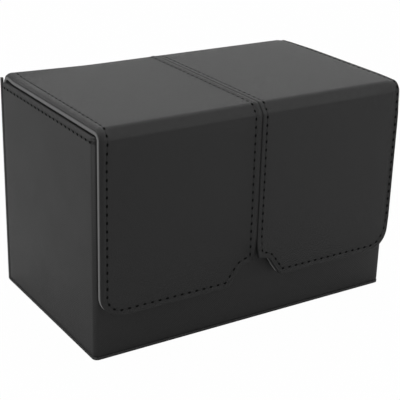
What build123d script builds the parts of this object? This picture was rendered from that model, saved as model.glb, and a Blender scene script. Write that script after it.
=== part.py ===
from build123d import *
from math import cos, radians, sin
import os

# A leatherette box for two decks of sleeved playing cards, with a drawer below.
# A base panel and a back panel carry a board body in a leatherette skin.  Two
# L-shaped lids hinge at the top of the back, and each folds over the front as a
# stiff flap.  The drawer slides out of the right end, under both decks.
# Millimetres, +Z up, front toward -Y.  The shapes are drawn about the middle of
# the case, from its front wall to its back, and moved to the origin at the end.

# case
case_width = 170.0
case_depth = 100.0
case_height = 112.4
base_thickness = 1.7
base_corner_radius = 2.0
back_thickness = 2.4
back_fold_radius = 1.2
back_tip_rise = 1.7

# body: skin over board, with a soft lining inside
skin_thickness = 0.7
board_thickness = 1.2
lining_thickness = 0.5
body_corner_radius = 2.5
skin_lift = 0.5
divider_thickness = 1.6
shelf_thickness = 1.8
floor_pad_thickness = 1.0
floor_pad_gap = 0.1

# lids: cover and lining, boards and magnets between them
cover_thickness = 1.6
lid_lining_thickness = 1.8
lid_side_inset = 1.4
lid_seam = 0.6
lid_seat_gap = 0.7
flap_gap = 1.0
flap_bottom_height = 22.5
front_bend_radius = 5.5
rear_bend_radius = 6.5
flap_corner_radius = 11.0
notch_bottom_width = 30.6
notch_top_width = 15.2
notch_height = 10.7
notch_top_radius = 5.0
notch_bottom_radius = 4.0
lid_board_thickness = 1.0
lid_board_margin = 5.0
pocket_gap = 0.1

# closing magnets, two for each flap and two behind it in the front wall
magnet_diameter = 10.0
magnet_thickness = 1.0
magnet_rise = 9.5
magnet_seam_margin = 29.7
magnet_side_margin = 15.6

# drawer bay and drawer
bay_floor_thickness = 1.4
bay_height = 31.4
drawer_side_gap = 0.6
drawer_floor_gap = 0.15
drawer_head_gap = 0.4
drawer_end_gap = 0.3
drawer_wall_thickness = 1.6
drawer_bottom_thickness = 1.4
drawer_lining_drop = 0.8
drawer_divider_thickness = 1.6
drawer_divider_height = 22.0
drawer_travel = 120.0
stop_drop = 2.2
stop_length = 4.0
stop_width = 60.0
stop_pass_gap = 0.6
stop_catch_gap = 0.3
tab_width = 16.0
tab_thickness = 1.8
tab_reach = 8.0
tab_end_radius = 5.0
tab_slot_gap = 0.1

# places that follow from the sizes
half_width = case_width / 2
front_y = -case_depth / 2
back_y = case_depth / 2
body_back_y = back_y - back_thickness
lid_thickness = cover_thickness + lid_lining_thickness
lid_under_z = case_height - lid_thickness
rim_z = lid_under_z - lid_seat_gap
lid_outer_x = half_width - lid_side_inset
lid_inner_x = lid_seam / 2
flap_face_y = front_y - flap_gap - lid_thickness
bend_y = back_y - rear_bend_radius
bend_z = case_height - rear_bend_radius
notch_z = flap_bottom_height + notch_height
magnet_z = flap_bottom_height + magnet_rise
magnet_places = (lid_inner_x + magnet_seam_margin, lid_outer_x - magnet_side_margin)
pocket_radius = magnet_diameter / 2 + pocket_gap

# inner faces of skin, boards and lining
core_x = half_width - skin_thickness
core_front_y = front_y + skin_thickness
core_back_y = body_back_y - skin_thickness
board_x = core_x - board_thickness
board_front_y = core_front_y + board_thickness
board_back_y = core_back_y - board_thickness
room_x = board_x - lining_thickness
room_front_y = board_front_y + lining_thickness
room_back_y = board_back_y - lining_thickness
board_top_z = rim_z - skin_thickness
mid_y = (board_front_y + board_back_y) / 2

# the rear of the rim is lower, under the bend of the lids
step_z = bend_z - skin_thickness / 2
step_board_z = step_z - skin_thickness

# drawer bay and drawer levels
bay_floor_z = base_thickness + bay_floor_thickness
shelf_z = bay_floor_z + bay_height
deck_floor_z = shelf_z + shelf_thickness
drawer_front_y = board_front_y + drawer_side_gap
drawer_back_y = board_back_y - drawer_side_gap
drawer_bottom_z = bay_floor_z + drawer_floor_gap
drawer_floor_z = drawer_bottom_z + drawer_bottom_thickness
drawer_top_z = shelf_z - drawer_head_gap
drawer_side_top_z = shelf_z - stop_drop - stop_pass_gap
drawer_end_x = -board_x + drawer_end_gap
drawer_inner_end_x = drawer_end_x + drawer_wall_thickness
face_board_x = half_width - skin_thickness - drawer_wall_thickness
drawer_mid_x = (drawer_inner_end_x + face_board_x) / 2
drawer_mid_z = (drawer_bottom_z + drawer_top_z) / 2

# the origin is under the middle of the whole box, lids and pull tab included
origin_x = tab_reach / 2
origin_y = (flap_face_y + back_y) / 2


def block(x0, x1, y0, y1, z0, z1):
    """A box between two corners."""
    return Pos((x0 + x1) / 2, (y0 + y1) / 2, (z0 + z1) / 2) * Box(x1 - x0, y1 - y0, z1 - z0)


def rounded_block(x0, x1, y0, y1, z0, z1, radius):
    """A box whose four upright edges are rounded."""
    shape = block(x0, x1, y0, y1, z0, z1)
    return fillet(shape.edges().filter_by(Axis.Z), radius)


def mirrored(shape):
    """The same shape on the other side of the middle seam."""
    return mirror(shape, about=Plane.YZ)


def disc(x, y, z, radius, thickness, axis):
    """A flat disc that starts at a point and grows along an axis."""
    plane = Plane(origin=(x, y, z), z_dir=axis)
    return extrude(plane * Circle(radius), thickness)


def quarter_point(centre_y, centre_z, radius, angle):
    """A point on a bend, by its angle from +Y toward +Z."""
    return (centre_y + radius * cos(radians(angle)), centre_z + radius * sin(radians(angle)))


def bend_arc(centre_y, centre_z, radius, start, end):
    """The quarter of a bend between two angles."""
    points = [quarter_point(centre_y, centre_z, radius, a) for a in (start, (start + end) / 2, end)]
    return ThreePointArc(*points)


def along_x(outline, x0, x1):
    """A side outline, drawn in Y and Z, drawn out from x0 to x1."""
    return Pos(x0, 0, 0) * extrude(Plane.YZ * make_face(outline), x1 - x0)


# body and panels

def lid_step(top_z, low_z):
    """The space at the rear of the rim that the bend of the lids needs."""
    return block(-core_x, core_x, bend_y, back_y, low_z, top_z)


def base_panel():
    panel = block(-half_width, half_width, front_y, body_back_y, 0, base_thickness)
    front_corners = panel.edges().filter_by(Axis.Z).sort_by(Axis.Y)[:2]
    return fillet(front_corners, base_corner_radius)


def back_panel():
    """The back, with a tip at each side that stands beside the lids."""
    panel = block(-half_width, half_width, body_back_y, back_y, 0, rim_z + back_tip_rise)
    fold = panel.edges().filter_by(Axis.X).sort_by(Axis.Z)[:2].sort_by(Axis.Y)[-1:]
    panel = fillet(fold, back_fold_radius)
    lid_room_x = lid_outer_x + lid_side_inset / 4
    return panel - block(-lid_room_x, lid_room_x, body_back_y - 1, back_y + 1, bend_z, case_height)


def body_core():
    """The space inside the skin, which the boards fill."""
    core = rounded_block(-core_x, core_x, core_front_y, core_back_y,
                         base_thickness, board_top_z, body_corner_radius - skin_thickness)
    return core - lid_step(case_height, step_board_z)


def card_rooms():
    """The two card rooms as one block, from the shelf to above the rim."""
    return block(-room_x, room_x, room_front_y, room_back_y, deck_floor_z, case_height)


def drawer_mouth():
    """The opening in the right end of the skin."""
    side = drawer_side_gap - drawer_head_gap
    return block(board_x, half_width + 1, board_front_y + side, board_back_y - side,
                 bay_floor_z, shelf_z)


def body_skin():
    """Leatherette round the boards, turned in over the rim."""
    skin = rounded_block(-half_width, half_width, front_y, body_back_y,
                         base_thickness + skin_lift, rim_z, body_corner_radius)
    skin -= lid_step(case_height, step_z)
    return skin - body_core() - card_rooms() - drawer_mouth()


def wall_board(x0, x1, y0, y1, z0):
    """A board of the body, cut to the rounded corners and to the rear step."""
    return block(x0, x1, y0, y1, z0, board_top_z) & body_core()


def wall_magnet(x):
    return disc(x, core_front_y, magnet_z, magnet_diameter / 2, magnet_thickness, (0, 1, 0))


def front_wall_board():
    board = wall_board(-core_x, core_x, core_front_y, board_front_y, base_thickness)
    for x in magnet_places:
        for side in (-1, 1):
            board -= disc(side * x, core_front_y, magnet_z, pocket_radius, magnet_thickness, (0, 1, 0))
    return board


def bay_magnet_disc(radius):
    """The disc in the left wall that holds the drawer shut."""
    return disc(-board_x, mid_y, drawer_mid_z, radius, magnet_thickness, (-1, 0, 0))


def left_wall_board():
    board = wall_board(-core_x, -board_x, board_front_y, board_back_y, base_thickness)
    return board - bay_magnet_disc(pocket_radius)


def right_wall_board():
    """The right wall starts above the mouth of the drawer bay."""
    return wall_board(board_x, core_x, board_front_y, board_back_y, shelf_z)


def rear_wall_board():
    return wall_board(-core_x, core_x, board_back_y, core_back_y, base_thickness)


def divider_board():
    half = divider_thickness / 2
    return wall_board(-half, half, board_front_y, board_back_y, deck_floor_z)


def divider_cap():
    """A leatherette strip along the top of the divider."""
    half = divider_thickness / 2 + lining_thickness
    return block(-half, half, room_front_y, bend_y, board_top_z, rim_z)


def right_room_lining():
    """A soft lining on the four walls of the right card room."""
    x0 = divider_thickness / 2
    lining = block(x0, board_x, board_front_y, board_back_y, deck_floor_z, board_top_z)
    lining -= block(x0 + lining_thickness, room_x, room_front_y, room_back_y, deck_floor_z, board_top_z)
    return lining & body_core()


def right_floor_pad():
    x0 = divider_thickness / 2 + lining_thickness + floor_pad_gap
    return block(x0, room_x - floor_pad_gap, room_front_y + floor_pad_gap,
                 room_back_y - floor_pad_gap, deck_floor_z, deck_floor_z + floor_pad_thickness)


def bay_floor_board():
    floor = block(-board_x, core_x, board_front_y, board_back_y, base_thickness, bay_floor_z)
    return floor & body_core()


def shelf_board():
    return block(-board_x, board_x, board_front_y, board_back_y, shelf_z, deck_floor_z)


def drawer_stop_strip():
    """A strip under the shelf that catches the inner end of the drawer."""
    x0 = drawer_inner_end_x + drawer_travel + stop_catch_gap
    return block(x0, x0 + stop_length, mid_y - stop_width / 2, mid_y + stop_width / 2,
                 shelf_z - stop_drop, shelf_z)


# lids

def flap_outline():
    """The right lid seen from the front, with its round corner and half notch."""
    top = case_height + 1
    points = [(lid_inner_x, top), (lid_outer_x, top), (lid_outer_x, flap_bottom_height),
              (notch_bottom_width / 2, flap_bottom_height), (notch_top_width / 2, notch_z),
              (lid_inner_x, notch_z)]
    face = make_face(Polyline(*points, close=True))
    rounds = [(points[2], flap_corner_radius), (points[3], notch_bottom_radius),
              (points[4], notch_top_radius)]
    for point, radius in rounds:
        corner = face.vertices().sort_by_distance((point[0], point[1], 0))[0]
        face = fillet(corner, radius)
    return extrude(Plane.XZ * face, case_depth, both=True)


def lid_sheet(outer, inner):
    """A bent sheet of the right lid, between two depths below its outside."""
    cy = flap_face_y + front_bend_radius
    cz = case_height - front_bend_radius
    low = flap_bottom_height
    outline = Line((bend_y, case_height - outer), (cy, case_height - outer))
    outline += bend_arc(cy, cz, front_bend_radius - outer, 90, 180)
    outline += Line((flap_face_y + outer, cz), (flap_face_y + outer, low))
    outline += Line((flap_face_y + outer, low), (flap_face_y + inner, low))
    outline += Line((flap_face_y + inner, low), (flap_face_y + inner, cz))
    outline += bend_arc(cy, cz, front_bend_radius - inner, 180, 90)
    outline += Line((cy, case_height - inner), (bend_y, case_height - inner))
    outline += Line((bend_y, case_height - inner), (bend_y, case_height - outer))
    return along_x(outline, lid_inner_x, lid_outer_x) & flap_outline()


def lid_cover():
    return lid_sheet(0, cover_thickness)


def top_board(gap=0.0):
    """The stiff board in the top of the lid, or its pocket with a gap round it."""
    edge = lid_board_margin - gap
    cy = flap_face_y + front_bend_radius
    z = case_height - cover_thickness
    return block(lid_inner_x + edge, lid_outer_x - edge, cy + edge, bend_y - edge,
                 z - lid_board_thickness, z)


def flap_board(gap=0.0):
    """The stiff board in the flap, above the notch and the magnets."""
    edge = lid_board_margin - gap
    y = flap_face_y + cover_thickness
    low = max(notch_z, magnet_z + magnet_diameter / 2) + edge
    return block(lid_inner_x + edge, lid_outer_x - edge, y, y + lid_board_thickness,
                 low, case_height - front_bend_radius - edge)


def flap_magnet(x, radius):
    return disc(x, flap_face_y + cover_thickness, magnet_z, radius, magnet_thickness, (0, 1, 0))


def lid_lining():
    """The inner layer, with pockets for the boards and magnets."""
    lining = lid_sheet(cover_thickness, lid_thickness)
    lining -= top_board(pocket_gap)
    lining -= flap_board(pocket_gap)
    for x in magnet_places:
        lining -= flap_magnet(x, pocket_radius)
    return lining


def hinge_bend(outer, inner):
    """The quarter bend of one layer, from the back panel up to the lid."""
    r_out = rear_bend_radius - outer
    r_in = rear_bend_radius - inner
    outline = bend_arc(bend_y, bend_z, r_out, 0, 90)
    outline += Line((bend_y, bend_z + r_out), (bend_y, bend_z + r_in))
    outline += bend_arc(bend_y, bend_z, r_in, 90, 0)
    outline += Line((bend_y + r_in, bend_z), (bend_y + r_out, bend_z))
    return along_x(outline, lid_inner_x, lid_outer_x)


# drawer

def drawer_bottom_board():
    return block(drawer_end_x, face_board_x, drawer_front_y, drawer_back_y,
                 drawer_bottom_z, drawer_floor_z)


def drawer_side(y0):
    return block(drawer_inner_end_x, face_board_x, y0, y0 + drawer_wall_thickness,
                 drawer_floor_z, drawer_side_top_z)


def drawer_magnet_disc(radius):
    return disc(drawer_end_x, mid_y, drawer_mid_z, radius, magnet_thickness, (1, 0, 0))


def drawer_end_board():
    """The inner end, taller than the sides, so that the stop catches it."""
    board = block(drawer_end_x, drawer_inner_end_x, drawer_front_y, drawer_back_y,
                  drawer_floor_z, drawer_top_z)
    return board - drawer_magnet_disc(pocket_radius)


def tab_slot():
    gap = tab_slot_gap
    return block(face_board_x - 1, half_width + 1, mid_y - tab_width / 2 - gap,
                 mid_y + tab_width / 2 + gap, drawer_mid_z - tab_thickness / 2 - gap,
                 drawer_mid_z + tab_thickness / 2 + gap)


def face_core():
    return block(face_board_x, half_width - skin_thickness, drawer_front_y + skin_thickness,
                 drawer_back_y - skin_thickness, drawer_bottom_z + skin_thickness,
                 drawer_top_z - skin_thickness)


def drawer_face_board():
    return face_core() - tab_slot()


def drawer_face_skin():
    """Leatherette over the face board, turned in round its four edges."""
    skin = block(face_board_x, half_width, drawer_front_y, drawer_back_y, drawer_bottom_z, drawer_top_z)
    return skin - face_core() - tab_slot()


def drawer_pull_tab():
    tab = block(face_board_x, half_width + tab_reach, mid_y - tab_width / 2,
                mid_y + tab_width / 2, drawer_mid_z - tab_thickness / 2,
                drawer_mid_z + tab_thickness / 2)
    end_corners = tab.edges().filter_by(Axis.Z).sort_by(Axis.X)[-2:]
    return fillet(end_corners, tab_end_radius)


def drawer_room(lining, top_z):
    """The space in the drawer, less a lining on its floor and walls."""
    return block(drawer_inner_end_x + lining, face_board_x - lining,
                 drawer_front_y + drawer_wall_thickness + lining,
                 drawer_back_y - drawer_wall_thickness - lining, drawer_floor_z + lining, top_z)


def drawer_lining():
    """A soft tray lining, a little lower than the sides."""
    top_z = drawer_side_top_z - drawer_lining_drop
    return drawer_room(0, top_z) - drawer_room(lining_thickness, case_height)


def drawer_divider():
    """A cross wall that parts the drawer in two."""
    half = drawer_divider_thickness / 2
    room = drawer_room(lining_thickness, drawer_floor_z + lining_thickness + drawer_divider_height)
    return room & block(drawer_mid_x - half, drawer_mid_x + half, front_y, back_y, 0, case_height)


# all sub-parts by name

def body_parts():
    lining, pad = right_room_lining(), right_floor_pad()
    wall_magnets = Part() + [wall_magnet(x) for x in magnet_places]
    return {
        "base_panel": base_panel(),
        "back_panel": back_panel(),
        "body_skin": body_skin(),
        "front_wall_board": front_wall_board(),
        "rear_wall_board": rear_wall_board(),
        "left_wall_board": left_wall_board(),
        "right_wall_board": right_wall_board(),
        "divider_board": divider_board(),
        "divider_cap": divider_cap(),
        "shelf_board": shelf_board(),
        "bay_floor_board": bay_floor_board(),
        "drawer_stop_strip": drawer_stop_strip(),
        "bay_magnet": bay_magnet_disc(magnet_diameter / 2),
        "right_room_lining": lining,
        "left_room_lining": mirrored(lining),
        "right_floor_pad": pad,
        "left_floor_pad": mirrored(pad),
        "right_wall_magnets": wall_magnets,
        "left_wall_magnets": mirrored(wall_magnets),
    }


def lid_parts():
    """Both lids and both hinges: the left ones mirror the right ones."""
    radius = magnet_diameter / 2
    right = {
        "lid_cover": lid_cover(),
        "lid_lining": lid_lining(),
        "lid_top_board": top_board(),
        "lid_flap_board": flap_board(),
        "lid_magnets": Part() + [flap_magnet(x, radius) for x in magnet_places],
        "hinge_cover": hinge_bend(0, cover_thickness),
        "hinge_lining": hinge_bend(cover_thickness, lid_thickness),
    }
    parts = {"right_" + name: shape for name, shape in right.items()}
    parts.update({"left_" + name: mirrored(shape) for name, shape in right.items()})
    return parts


def drawer_parts():
    return {
        "drawer_bottom_board": drawer_bottom_board(),
        "drawer_front_side": drawer_side(drawer_front_y),
        "drawer_rear_side": drawer_side(drawer_back_y - drawer_wall_thickness),
        "drawer_end_board": drawer_end_board(),
        "drawer_face_board": drawer_face_board(),
        "drawer_face_skin": drawer_face_skin(),
        "drawer_pull_tab": drawer_pull_tab(),
        "drawer_lining": drawer_lining(),
        "drawer_divider": drawer_divider(),
        "drawer_magnet": drawer_magnet_disc(magnet_diameter / 2),
    }


os.makedirs("parts", exist_ok=True)
for make_group in (body_parts, lid_parts, drawer_parts):
    for name, shape in make_group().items():
        export_step(Pos(-origin_x, -origin_y, 0) * shape, "parts/" + name + ".step")
        print(name)
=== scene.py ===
import math
import bpy
import bmesh
from mathutils import Matrix, Quaternion, Vector


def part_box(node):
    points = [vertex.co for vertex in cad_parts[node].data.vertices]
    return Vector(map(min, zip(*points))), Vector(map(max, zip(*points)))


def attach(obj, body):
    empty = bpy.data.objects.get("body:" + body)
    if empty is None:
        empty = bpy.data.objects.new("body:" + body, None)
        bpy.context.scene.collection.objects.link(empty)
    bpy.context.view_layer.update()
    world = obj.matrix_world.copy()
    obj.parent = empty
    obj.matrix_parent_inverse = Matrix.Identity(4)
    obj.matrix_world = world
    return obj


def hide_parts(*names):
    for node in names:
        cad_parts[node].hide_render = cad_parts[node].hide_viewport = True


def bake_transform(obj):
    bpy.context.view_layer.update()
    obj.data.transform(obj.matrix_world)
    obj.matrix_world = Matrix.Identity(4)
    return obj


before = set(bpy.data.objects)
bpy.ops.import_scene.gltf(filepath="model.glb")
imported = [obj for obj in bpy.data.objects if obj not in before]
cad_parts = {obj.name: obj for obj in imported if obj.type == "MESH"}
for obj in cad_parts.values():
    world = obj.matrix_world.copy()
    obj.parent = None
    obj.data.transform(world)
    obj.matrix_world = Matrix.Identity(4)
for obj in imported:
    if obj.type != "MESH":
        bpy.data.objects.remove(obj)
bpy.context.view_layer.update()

# Leatherette card box with two lids and a side drawer.  Metres, +Z up, front toward -Y.
mm = 0.001
hair = 0.01 * mm                # places nearer than this are the same place
quarterTurn = math.pi / 2
smoothAngle = math.radians(40)  # edges that turn less are shaded smooth
facing = 0.9                    # a face looks along a way if this much of its normal does


def selectOnly(*things):
    bpy.ops.object.select_all(action="DESELECT")
    for thing in things:
        thing.select_set(True)
    bpy.context.view_layer.objects.active = things[0]


def startEdit(thing):
    selectOnly(thing)
    bpy.ops.object.mode_set(mode="EDIT")
    bpy.ops.mesh.select_all(action="SELECT")


def endEdit():
    bpy.ops.object.mode_set(mode="OBJECT")


def pick(thing, kind, test):  # selects the vertices, edges or faces whose middle passes the test
    bpy.ops.mesh.select_mode(type=kind)
    bpy.ops.mesh.select_all(action="DESELECT")
    shape = bmesh.from_edit_mesh(thing.data)
    for part in {"VERT": shape.verts, "EDGE": shape.edges, "FACE": shape.faces}[kind]:
        corners = [part] if kind == "VERT" else part.verts
        middle = sum((corner.co for corner in corners), Vector()) / len(corners)
        if test(middle, part):
            part.select_set(True)
    shape.select_flush_mode()
    bmesh.update_edit_mesh(thing.data)


def near(place, spot):
    return (place - Vector(spot)).length < hair


def applyPlace(thing):
    selectOnly(thing)
    bpy.ops.object.transform_apply(location=True, rotation=True, scale=True)


def useModifier(thing, kind, **settings):
    selectOnly(thing)
    modifier = thing.modifiers.new(kind.lower(), kind)
    for key, value in settings.items():
        setattr(modifier, key, value)
    bpy.ops.object.modifier_apply(modifier=modifier.name)


def faceOutward(thing):  # turns every face of a closed piece outward
    startEdit(thing)
    bpy.ops.mesh.normals_make_consistent(inside=False)
    endEdit()


def smoothEdges(thing):
    selectOnly(thing)
    bpy.ops.object.shade_smooth_by_angle(angle=smoothAngle)


def copyOf(thing, name):
    twin = thing.copy()
    twin.data = thing.data.copy()
    twin.name = name
    bpy.context.collection.objects.link(twin)
    return twin


def moveTo(thing, place):
    thing.location = place
    applyPlace(thing)


def overMiddle(low, high, height=0.0):  # the place at this height over a box's middle
    return ((low.x + high.x) / 2, (low.y + high.y) / 2, height)


def boxBetween(low, high):
    bpy.ops.object.select_all(action="DESELECT")
    bpy.ops.mesh.primitive_cube_add(size=1, location=(low + high) / 2)
    box = bpy.context.object
    box.scale = high - low
    applyPlace(box)
    return box


def remove(thing):
    bpy.data.objects.remove(thing, do_unlink=True)


def joined(name, things):
    selectOnly(*things)
    bpy.ops.object.join()
    things[0].name = name
    return things[0]


def dress(thing, material, slot, body=None, stands=()):  # finish, body and the nodes it stands for
    thing.data.name = thing.name
    if material:
        thing.data.materials.clear()
        thing.data.materials.append(material)
    if stands:
        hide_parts(*stands)
    if body:
        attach(thing, body)


class Finish:  # a material, with short calls that add its nodes
    def __init__(self, name):
        self.material = bpy.data.materials.new(name)
        self.material.use_nodes = True
        self.nodes = self.material.node_tree.nodes
        self.links = self.material.node_tree.links
        self.shader = self.nodes["Principled BSDF"]

    def add(self, kind, **values):
        node = self.nodes.new("ShaderNode" + kind)
        for key, value in values.items():
            setattr(node, key, value)
        return node

    def feed(self, value, socket):
        if isinstance(value, bpy.types.NodeSocket):
            self.links.new(value, socket)
        else:
            socket.default_value = value

    def math(self, operation, first, second=0.0):
        node = self.add("Math", operation=operation)
        self.feed(first, node.inputs[0])
        self.feed(second, node.inputs[1])
        return node.outputs[0]

    def average(self, first, second):
        total = self.math("MULTIPLY_ADD", first, 0.5)
        self.feed(self.math("MULTIPLY", second, 0.5), total.node.inputs[2])
        return total

    def greys(self, share, dark, light):  # from one display grey to the other
        node = self.add("Mix", data_type="RGBA")
        self.feed(share, node.inputs[0])
        self.feed(grey(dark), node.inputs[6])
        self.feed(grey(light), node.inputs[7])
        return node.outputs[2]

    def noise(self, place, scale, detail=3.0, roughness=0.5):
        node = self.add("TexNoise")
        self.feed(place, node.inputs["Vector"])
        node.inputs["Scale"].default_value = scale
        node.inputs["Detail"].default_value = detail
        node.inputs["Roughness"].default_value = roughness
        return node.outputs[0]

    def spread(self, value, low, high):  # 0..1 to low..high
        node = self.add("MapRange")
        self.feed(value, node.inputs[0])
        node.inputs[3].default_value = low
        node.inputs[4].default_value = high
        return node.outputs[0]

    def bump(self, height, depth, under=None):
        node = self.add("Bump")
        node.inputs["Distance"].default_value = depth
        self.feed(height, node.inputs["Height"])
        if under:
            self.feed(under, node.inputs["Normal"])
        return node.outputs[0]

    def set(self, **sockets):
        for name, value in sockets.items():
            self.feed(value, self.shader.inputs[name.replace("_", " ")])


def grey(level):  # a display grey from 0 to 255 as a linear colour
    share = level / 255
    linear = share / 12.92 if share <= 0.04045 else ((share + 0.055) / 1.055) ** 2.4
    return (linear, linear, linear, 1)


leather = {
    "bent": (21, 27), "wall": (16, 21),              # display greys, on the lids and on the body; the body's darker greys are painted shade on the same leatherette
    "grainPitch": 0.65 * mm, "grainDepth": 0.06 * mm,  # diagonal cross lines pressed into the surface
    "poreScale": 2600, "poreDetail": 2.0, "poreDepth": 0.03 * mm,
    "cloudScale": 45, "cloudDetail": 4.0,            # faint unevenness over the whole surface
    "rough": (0.40, 0.52), "gloss": 0.36,
}


def makeLeather(name, follow):  # follow is "uv" on bent sheets and "object" on straight walls
    finish = Finish(name)
    # straight walls take the body's darker greys, which are painted shade
    tones = leather["bent" if follow == "uv" else "wall"]
    source = finish.add("TexCoord")
    place = source.outputs["UV" if follow == "uv" else "Object"]
    split = finish.add("SeparateXYZ")
    finish.feed(place, split.inputs[0])
    across = split.outputs["X"]
    along = split.outputs["Y"]
    if follow == "object":
        across = finish.math("ADD", split.outputs["X"], split.outputs["Y"])
        along = split.outputs["Z"]
    turn = 2 * math.pi / (leather["grainPitch"] * math.sqrt(2))
    rising = finish.math("SINE", finish.math("MULTIPLY", finish.math("ADD", across, along), turn))
    falling = finish.math("SINE", finish.math("MULTIPLY", finish.math("SUBTRACT", across, along), turn))
    ridge = finish.math("MAXIMUM", rising, falling)
    pores = finish.noise(place, leather["poreScale"], leather["poreDetail"])
    clouds = finish.noise(place, leather["cloudScale"], leather["cloudDetail"])
    grain = finish.bump(ridge, leather["grainDepth"])
    finish.set(Base_Color=finish.greys(finish.average(pores, clouds), *tones),
               Roughness=finish.spread(clouds, *leather["rough"]), Specular_IOR_Level=leather["gloss"],
               Normal=finish.bump(pores, leather["poreDepth"], grain))
    return finish.material


velvet = {
    "tones": (87, 111), "pileScale": 3200, "pileDetail": 2.0, "pileDepth": 0.12 * mm,
    "patchScale": 70, "rough": 0.95, "gloss": 0.1, "sheen": 0.25, "sheenRough": 0.5,
}


def makeVelvet(name):
    finish = Finish(name)
    place = finish.add("TexCoord").outputs["Object"]
    pile = finish.noise(place, velvet["pileScale"], velvet["pileDetail"])
    patch = finish.noise(place, velvet["patchScale"])
    finish.set(Base_Color=finish.greys(finish.average(pile, patch), *velvet["tones"]),
               Roughness=velvet["rough"], Specular_IOR_Level=velvet["gloss"],
               Sheen_Weight=velvet["sheen"], Sheen_Roughness=velvet["sheenRough"],
               Normal=finish.bump(pile, velvet["pileDepth"]))
    return finish.material


thread = {
    "tones": (11, 21), "twistScale": 1500, "twistDepth": 0.06 * mm, "rough": 0.5, "gloss": 0.34,
    # the holes' greys are painted shade
    "holeShadeTones": (12, 24), "fibreScale": 3000, "fibreDetail": 2.0, "fibreDepth": 0.05 * mm,
}


def makeThread(name):
    finish = Finish(name)
    place = finish.add("TexCoord").outputs["Object"]
    wave = finish.add("TexWave", bands_direction="DIAGONAL")
    finish.feed(place, wave.inputs["Vector"])
    wave.inputs["Scale"].default_value = thread["twistScale"]
    strands = wave.outputs["Fac"]
    finish.set(Base_Color=finish.greys(strands, *thread["tones"]), Roughness=thread["rough"],
               Specular_IOR_Level=thread["gloss"], Normal=finish.bump(strands, thread["twistDepth"]))
    return finish.material


def makeHoleShade(name):  # painted shade of a pierced hole: a dark matte disc, speckled like loose fibre at its mouth
    finish = Finish(name)
    place = finish.add("TexCoord").outputs["Object"]
    fibre = finish.noise(place, thread["fibreScale"], thread["fibreDetail"])
    finish.set(Base_Color=finish.greys(fibre, *thread["holeShadeTones"]), Roughness=1.0,
               Specular_IOR_Level=0.0, Normal=finish.bump(fibre, thread["fibreDepth"]))
    return finish.material


board = {
    "tones": (34, 46), "rough": (0.72, 0.88), "gloss": 0.25,
    "fibreScale": 420, "fibreDetail": 5.0, "fibreRough": 0.65,
    "toothScale": 1400, "toothDetail": 2.0, "toothDepth": 0.03 * mm,
}


def makeBoard(name):  # black paper over grey board
    finish = Finish(name)
    place = finish.add("TexCoord").outputs["Object"]
    fibre = finish.noise(place, board["fibreScale"], board["fibreDetail"], board["fibreRough"])
    tooth = finish.noise(place, board["toothScale"], board["toothDetail"])
    finish.set(Base_Color=finish.greys(fibre, *board["tones"]),
               Roughness=finish.spread(fibre, *board["rough"]), Specular_IOR_Level=board["gloss"],
               Normal=finish.bump(tooth, board["toothDepth"]))
    return finish.material


steel = {
    "tones": (170, 196), "rough": (0.24, 0.4),
    "latheScale": 900, "latheDetail": 4.0, "latheDepth": 0.01 * mm,
}


def makeSteel(name):
    finish = Finish(name)
    place = finish.add("TexCoord").outputs["Object"]
    lathe = finish.noise(place, steel["latheScale"], steel["latheDetail"])
    finish.set(Base_Color=finish.greys(lathe, *steel["tones"]), Metallic=1.0,
               Roughness=finish.spread(lathe, *steel["rough"]),
               Normal=finish.bump(lathe, steel["latheDepth"]))
    return finish.material


bentLeather = makeLeather("leather_bent", "uv")
# the body's leatherette, painted darker as shade
wallLeatherPaintedShade = makeLeather("leather_wall_painted_shade", "object")
greyVelvet = makeVelvet("lining_velvet")
sewingThread = makeThread("sewing_thread")
holeShade = makeHoleShade("needle_hole_painted_shade")
paperBoard = makeBoard("paper_board")
brushedSteel = makeSteel("magnet_steel")
print("materials are made")


view = {
    "azimuth": -32.786, "elevation": 21.951, "roll": 1.581,  # degrees
    "distance": 579.7 * mm, "nearest": 10 * mm,
    "target": Vector((-1.25, 2.2, 45.6)) * mm,
    "lens": 100.4, "shiftX": -0.00225, "shiftY": -0.0013,    # millimetres, shares of the picture's width
}
studio = {
    "worldGlow": 0.55,       # light on plain surfaces; what the camera and glossy surfaces see is white
    "floorSide": 6.0,        # metres
    "floorTone": 0.6,        # the floor's own colour, which sets how much it lights the box
    "floorRough": 0.9,
    "floorWhite": 0.985,     # share of plain white in what the camera sees of the floor
    "floorGloss": 0.12,      # and in what shows in gloss or through glass
}
lamps = {
    "top": {"place": (0.05, 0.4, 0.9), "size": 0.9, "watts": 4.0},
    "left": {"place": (-0.95, -0.35, 0.75), "size": 0.6, "watts": 5.0},
    "right": {"place": (0.8, -0.45, 0.7), "size": 0.4, "watts": 2.2},
}


def makeCamera():
    turn = math.radians(view["azimuth"])
    rise = math.radians(view["elevation"])
    back = Vector((math.sin(turn) * math.cos(rise), -math.cos(turn) * math.cos(rise), math.sin(rise)))
    lens = bpy.data.cameras.new("camera")
    lens.lens = view["lens"]
    lens.shift_x = view["shiftX"]
    lens.shift_y = view["shiftY"]
    lens.clip_start = view["nearest"]
    camera = bpy.data.objects.new("camera", lens)
    bpy.context.collection.objects.link(camera)
    camera.rotation_mode = "QUATERNION"
    camera.location = view["target"] + back * view["distance"]
    aim = (-back).to_track_quat("-Z", "Y")
    camera.rotation_quaternion = aim @ Quaternion((0, 0, 1), math.radians(view["roll"]))
    bpy.context.scene.camera = camera


def seenDirectly(nodes, links):  # 1 for rays from the camera, off gloss or through glass
    path = nodes.new("ShaderNodeLightPath")
    total = path.outputs["Is Camera Ray"]
    for name in ("Is Glossy Ray", "Is Transmission Ray"):
        most = nodes.new("ShaderNodeMath")
        most.operation = "MAXIMUM"
        links.new(total, most.inputs[0])
        links.new(path.outputs[name], most.inputs[1])
        total = most.outputs[0]
    return total


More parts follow.
